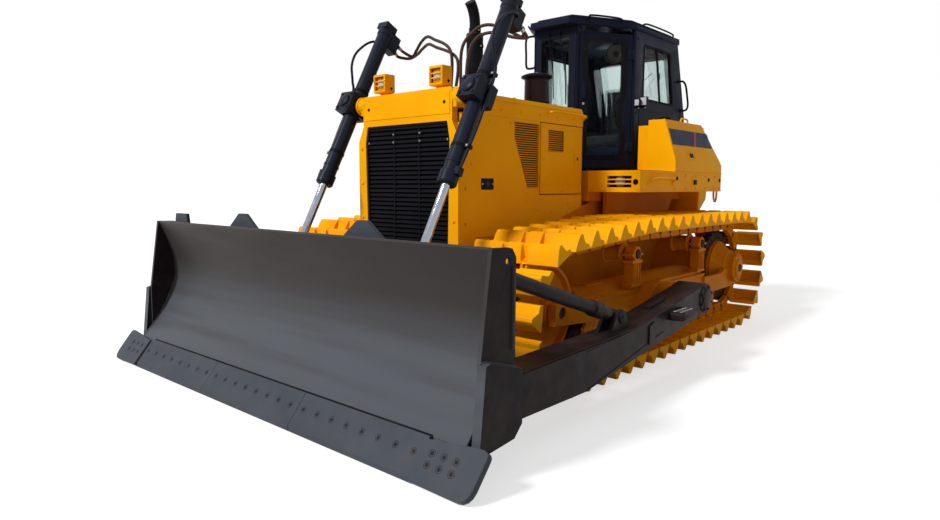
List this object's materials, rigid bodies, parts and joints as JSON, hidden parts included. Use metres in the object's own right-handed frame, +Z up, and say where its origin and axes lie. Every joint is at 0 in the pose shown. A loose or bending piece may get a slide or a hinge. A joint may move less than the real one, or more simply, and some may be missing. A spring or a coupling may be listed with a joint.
{
  "type": "crawler bulldozer",
  "caption": "Crawler bulldozer on wide low-ground-pressure tracks: a straight blade on hinged push arms with lift cylinders, an enclosed cab and opening cab and engine doors.",
  "frame": {"origin": "on the ground, at the middle of the overall length and width", "axes": "+Z up, -Y forwards to the blade, +X to the machine's own left"},
  "size_m": [3.91, 5.5583, 3.08],
  "materials": {
    "yellow_paint": "gloss",
    "track_steel": "satin",
    "blade_steel": "satin",
    "cab_paint": "gloss",
    "black_paint": "satin",
    "chrome": "polished",
    "cast_steel": "matt",
    "cab_trim": "matt",
    "seat_vinyl": "satin"
  },
  "bodies": {
    "chassis": {"air_precleaner": "black_paint", "cab_base": "yellow_paint", "cab_floor": "cab_trim", "cab_front": "cab_paint", "cab_rear": "cab_paint", "cab_roof": "cab_paint", "cab_side_left": "cab_paint", "cab_side_right": "cab_paint", "carrier_rollers_left": "yellow_paint", "carrier_rollers_right": "yellow_paint", "console_left": "cab_trim", "console_right": "cab_trim", "dashboard": "cab_trim", "deck_left": "yellow_paint", "deck_right": "yellow_paint", "engine_block": "cast_steel", "exhaust_stack": "black_paint", "final_drive_left": "yellow_paint", "final_drive_right": "yellow_paint", "grille": "black_paint", "headlight_left": "yellow_paint", "headlight_right": "yellow_paint", "hood": "yellow_paint", "hood_side_left": "yellow_paint", "hood_side_right": "yellow_paint", "idler_left": "yellow_paint", "idler_right": "yellow_paint", "main_frame": "yellow_paint", "radiator_guard": "yellow_paint", "rear_tank": "yellow_paint", "seat_back": "seat_vinyl", "seat_base": "cab_trim", "seat_cushion": "seat_vinyl", "side_tank_left": "yellow_paint", "side_tank_right": "yellow_paint", "sprocket_left": "cast_steel", "sprocket_right": "cast_steel", "track_frame_left": "yellow_paint", "track_frame_right": "yellow_paint", "track_left": "track_steel", "track_right": "track_steel", "track_rollers_left": "cast_steel", "track_rollers_right": "cast_steel"},
    "blade_arm": {"blade": "blade_steel", "cutting_edge": "blade_steel", "push_arm_left": "blade_steel", "push_arm_right": "blade_steel", "brace_left": "black_paint", "tilt_cylinder_right": "black_paint"},
    "lift_left": {"lift_barrel_left": "black_paint", "lift_yoke_left": "black_paint"},
    "rod_left": {"lift_rod_left": "chrome"},
    "cab_door_left": {"cab_door_left": "cab_paint"},
    "engine_door_left": {"engine_door_left": "yellow_paint"},
    "lift_right": {"lift_barrel_right": "black_paint", "lift_yoke_right": "black_paint"},
    "rod_right": {"lift_rod_right": "chrome"},
    "cab_door_right": {"cab_door_right": "cab_paint"},
    "engine_door_right": {"engine_door_right": "yellow_paint"}
  },
  "joints": [
    {"name": "blade_lift", "type": "hinge", "parent": "chassis", "child": "blade_arm", "pos_m": [0, 0.326, 0.55], "axis": [-1, 0, 0], "range_deg": [-8, 20]},
    {"name": "lift_swing_left", "type": "hinge", "parent": "chassis", "child": "lift_left", "pos_m": [0.685, -1.23, 2.088], "axis": [-1, 0, 0], "range_deg": [-5, 12.4]},
    {"name": "lift_stroke_left", "type": "slide", "parent": "lift_left", "child": "rod_left", "axis": [0, -0.4632, -0.8862], "range_m": [-0.746, 0.3]},
    {"name": "cab_door_left", "type": "hinge", "parent": "chassis", "child": "cab_door_left", "pos_m": [0.5754, 1.2565, 2.27], "axis": [0, 0, 1], "range_deg": [0, 80]},
    {"name": "engine_door_left", "type": "hinge", "parent": "chassis", "child": "engine_door_left", "pos_m": [0.5396, -0.253, 1.71], "axis": [0, 0, -1], "range_deg": [0, 100]},
    {"name": "lift_swing_right", "type": "hinge", "parent": "chassis", "child": "lift_right", "pos_m": [-0.685, -1.23, 2.088], "axis": [-1, 0, 0], "range_deg": [-5, 12.4]},
    {"name": "lift_stroke_right", "type": "slide", "parent": "lift_right", "child": "rod_right", "axis": [0, -0.4632, -0.8862], "range_m": [-0.746, 0.3]},
    {"name": "cab_door_right", "type": "hinge", "parent": "chassis", "child": "cab_door_right", "pos_m": [-0.5754, 1.2565, 2.27], "axis": [0, 0, -1], "range_deg": [0, 80]},
    {"name": "engine_door_right", "type": "hinge", "parent": "chassis", "child": "engine_door_right", "pos_m": [-0.5396, -0.253, 1.71], "axis": [0, 0, 1], "range_deg": [0, 100]}
  ],
  "couplings": [
    {"joint": "lift_swing_left", "follows": "blade_lift", "ratio": 0.615},
    {"joint": "lift_stroke_left", "follows": "blade_lift", "m_per_rad": -2.13},
    {"joint": "lift_swing_right", "follows": "blade_lift", "ratio": 0.615},
    {"joint": "lift_stroke_right", "follows": "blade_lift", "m_per_rad": -2.13}
  ]
}
